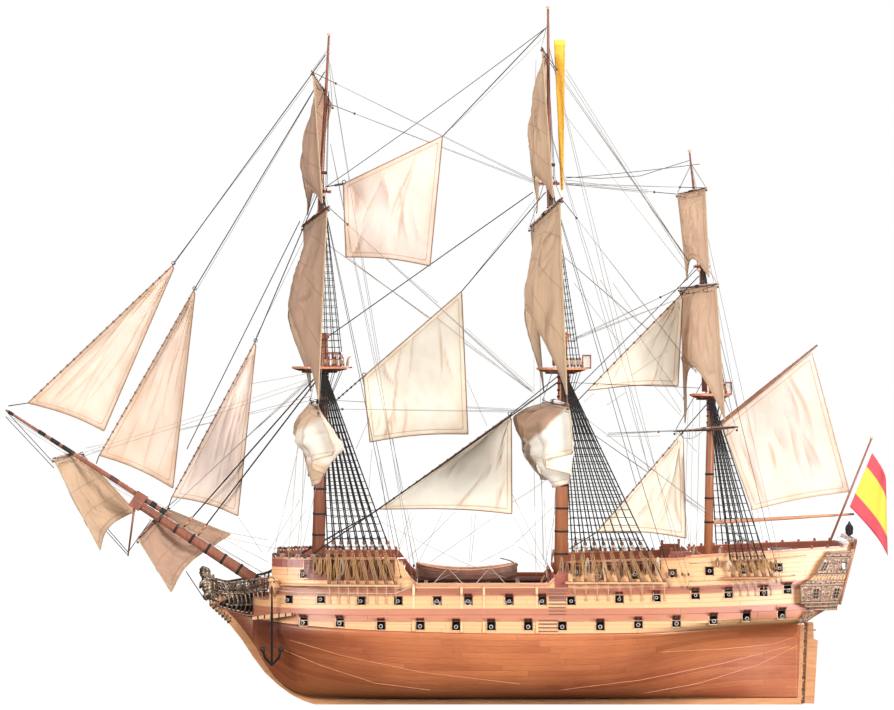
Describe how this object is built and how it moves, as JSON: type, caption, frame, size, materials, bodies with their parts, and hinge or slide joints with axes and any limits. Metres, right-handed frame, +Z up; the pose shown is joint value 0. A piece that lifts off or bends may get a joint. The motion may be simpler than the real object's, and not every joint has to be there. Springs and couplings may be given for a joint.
{
  "type": "tall ship model",
  "caption": "Wooden display model of a square-rigged two-deck sailing warship with set sails, turning rudder and swinging spanker, held by its keel.",
  "frame": {"origin": "underside of the keel on the centre plane, midway between the two places where a stand carries the keel", "axes": "-X towards the bow, +X towards the stern, +Y to starboard, +Z up the masts"},
  "size_m": [0.8829, 0.33, 0.698],
  "materials": {
    "hull_wood": "varnished reddish mahogany planking, satin",
    "keel_wood": "varnished tan-orange wood, satin",
    "band_wood": "varnished pale maple planking between mauve-brown wales, satin",
    "spar_wood": "stained reddish walnut dowel, satin",
    "dark_wood": "dark brown stained wood, satin",
    "cast_metal": "antiqued bronze and pewter casting",
    "black_iron": "blackened cast metal, matte",
    "tarred_rope": "blackened laid cord, matte",
    "sailcloth": "cream-tan cotton with sewn seams and bolt rope",
    "flag_cloth": "crimson and yellow striped cotton",
    "pennant_cloth": "orange-yellow ribbon"
  },
  "bodies": {
    "root": {"lower_hull": "hull_wood", "topsides": "band_wood", "keel": "keel_wood", "stern_gallery": "cast_metal", "figurehead": "cast_metal", "head_rails": "dark_wood", "fore_channel_port": "band_wood", "fore_channel_starboard": "band_wood", "main_channel_port": "band_wood", "main_channel_starboard": "band_wood", "mizzen_channel_port": "band_wood", "mizzen_channel_starboard": "band_wood", "anchor_port": "black_iron", "anchor_starboard": "black_iron", "skid_beams": "dark_wood", "longboat": "dark_wood", "fore_stay": "tarred_rope", "bowsprit": "spar_wood", "jibboom": "spar_wood", "fore_mast": "spar_wood", "main_mast": "spar_wood", "mizzen_mast": "spar_wood", "fore_topmast": "spar_wood", "main_topmast": "spar_wood", "mizzen_topmast": "spar_wood", "fore_course_yard": "spar_wood", "fore_topsail_yard": "spar_wood", "fore_topgallant_yard": "spar_wood", "main_course_yard": "spar_wood", "main_topsail_yard": "spar_wood", "main_topgallant_yard": "spar_wood", "crossjack_yard": "spar_wood", "mizzen_topsail_yard": "spar_wood", "mizzen_topgallant_yard": "spar_wood", "sprit_topsail_yard": "spar_wood", "spritsail_yard": "spar_wood", "fore_course": "sailcloth", "fore_topsail": "sailcloth", "fore_topgallant_sail": "sailcloth", "main_course": "sailcloth", "main_topsail": "sailcloth", "main_topgallant_sail": "sailcloth", "mizzen_topsail": "sailcloth", "mizzen_topgallant_sail": "sailcloth", "sprit_topsail": "sailcloth", "spritsail": "sailcloth", "flying_jib": "sailcloth", "jib": "sailcloth", "fore_topmast_staysail": "sailcloth", "main_staysail": "sailcloth", "main_topmast_staysail": "sailcloth", "main_topgallant_staysail": "sailcloth", "mizzen_staysail": "sailcloth", "mizzen_topmast_staysail": "sailcloth", "ensign": "flag_cloth", "pennant": "pennant_cloth"},
    "rudder": {"rudder": "keel_wood"},
    "spanker": {"gaff": "spar_wood", "boom": "spar_wood", "spanker": "sailcloth"}
  },
  "joints": [
    {"name": "rudder_hinge", "type": "hinge", "parent": "root", "child": "rudder", "pos_m": [0.2612, 0, 0], "axis": [0.0384, 0, 0.9993], "range_deg": [-30, 30]},
    {"name": "spanker_swing", "type": "hinge", "parent": "root", "child": "spanker", "pos_m": [0.164, 0, 0.1449], "axis": [0.0174, 0, 0.9998], "range_deg": [-1, 20]}
  ]
}
